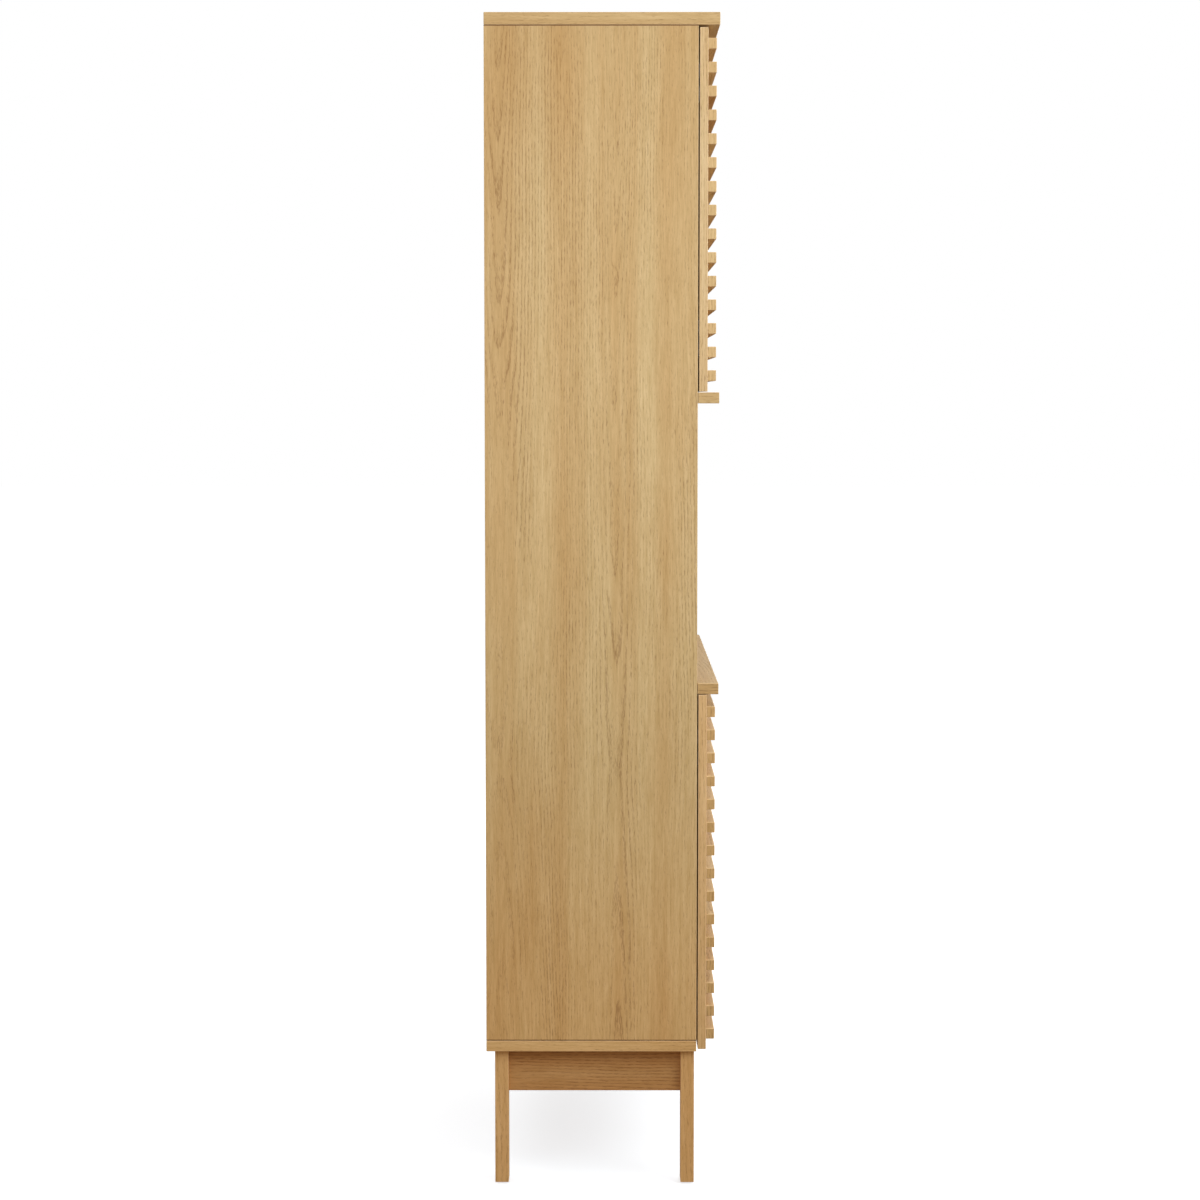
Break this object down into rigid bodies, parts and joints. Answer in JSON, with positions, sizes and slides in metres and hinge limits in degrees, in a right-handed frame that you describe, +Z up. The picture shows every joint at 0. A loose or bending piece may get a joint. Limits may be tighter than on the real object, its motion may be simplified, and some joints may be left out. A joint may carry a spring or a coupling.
{
  "type": "pantry cabinet",
  "caption": "Tall oak-look pantry cabinet on legs, with hinged slatted doors above and below an open niche with a countertop.",
  "frame": {"origin": "on the floor under the middle of the cabinet's outer box", "axes": "+Z up, the doors face -Y, +X along the width to the right seen from the front"},
  "size_m": [0.8, 0.35, 1.764],
  "materials": {
    "oak_board": "satin light natural oak veneer",
    "oak_solid": "satin light natural oak",
    "thin_back": "thin fibreboard with an oak foil",
    "beech": "raw fluted beech",
    "nickel_steel": "nickel plated",
    "zinc_casting": "dull zinc casting",
    "glide_plastic": "light grey moulded plastic",
    "catch_plastic": "off-white moulded plastic"
  },
  "bodies": {
    "carcass": {"back_leg_left": "oak_solid", "back_leg_right": "oak_solid", "back_panel_nails": "nickel_steel", "back_rail": "oak_solid", "bottom_panel": "oak_board", "cam_bolts": "zinc_casting", "cam_locks": "zinc_casting", "catch_screws": "nickel_steel", "countertop": "oak_board", "foot_glides": "glide_plastic", "front_leg_left": "oak_solid", "front_leg_right": "oak_solid", "front_rail": "oak_solid", "hinge_arm_screws": "nickel_steel", "hinge_arms": "nickel_steel", "hinge_plate_screws": "nickel_steel", "hinge_plates": "nickel_steel", "leg_bolts": "nickel_steel", "lower_back_panel": "thin_back", "lower_shelf": "oak_board", "magnetic_catches": "catch_plastic", "niche_back_panel": "thin_back", "rail_bracket_screws": "nickel_steel", "rail_brackets": "nickel_steel", "shelf_pins": "nickel_steel", "side_panel_left": "oak_board", "side_panel_right": "oak_board", "side_rail_left": "oak_solid", "side_rail_right": "oak_solid", "top_panel": "oak_board", "upper_back_panel": "thin_back", "upper_cabinet_floor": "oak_board", "upper_shelf": "oak_board", "wood_dowels": "beech"},
    "upper_left_door": {"upper_left_door_panel": "oak_board", "upper_left_door_screws": "nickel_steel", "upper_left_door_slats": "oak_board", "upper_left_hinge_cups": "nickel_steel", "upper_left_hinge_pins": "nickel_steel", "upper_left_strike_plate": "nickel_steel"},
    "upper_right_door": {"upper_right_door_panel": "oak_board", "upper_right_door_screws": "nickel_steel", "upper_right_door_slats": "oak_board", "upper_right_hinge_cups": "nickel_steel", "upper_right_hinge_pins": "nickel_steel", "upper_right_strike_plate": "nickel_steel"},
    "lower_left_door": {"lower_left_door_panel": "oak_board", "lower_left_door_screws": "nickel_steel", "lower_left_door_slats": "oak_board", "lower_left_hinge_cups": "nickel_steel", "lower_left_hinge_pins": "nickel_steel", "lower_left_strike_plate": "nickel_steel"},
    "lower_right_door": {"lower_right_door_panel": "oak_board", "lower_right_door_screws": "nickel_steel", "lower_right_door_slats": "oak_board", "lower_right_hinge_cups": "nickel_steel", "lower_right_hinge_pins": "nickel_steel", "lower_right_strike_plate": "nickel_steel"}
  },
  "joints": [
    {"name": "upper_left_door_hinge", "type": "hinge", "parent": "carcass", "child": "upper_left_door", "pos_m": [-0.394, -0.153, 1.47325], "axis": [0, 0, -1], "range_deg": [0, 100]},
    {"name": "upper_right_door_hinge", "type": "hinge", "parent": "carcass", "child": "upper_right_door", "pos_m": [0.394, -0.153, 1.47325], "axis": [0, 0, 1], "range_deg": [0, 100]},
    {"name": "lower_left_door_hinge", "type": "hinge", "parent": "carcass", "child": "lower_left_door", "pos_m": [-0.394, -0.153, 0.48025], "axis": [0, 0, -1], "range_deg": [0, 100]},
    {"name": "lower_right_door_hinge", "type": "hinge", "parent": "carcass", "child": "lower_right_door", "pos_m": [0.394, -0.153, 0.48025], "axis": [0, 0, 1], "range_deg": [0, 100]}
  ]
}
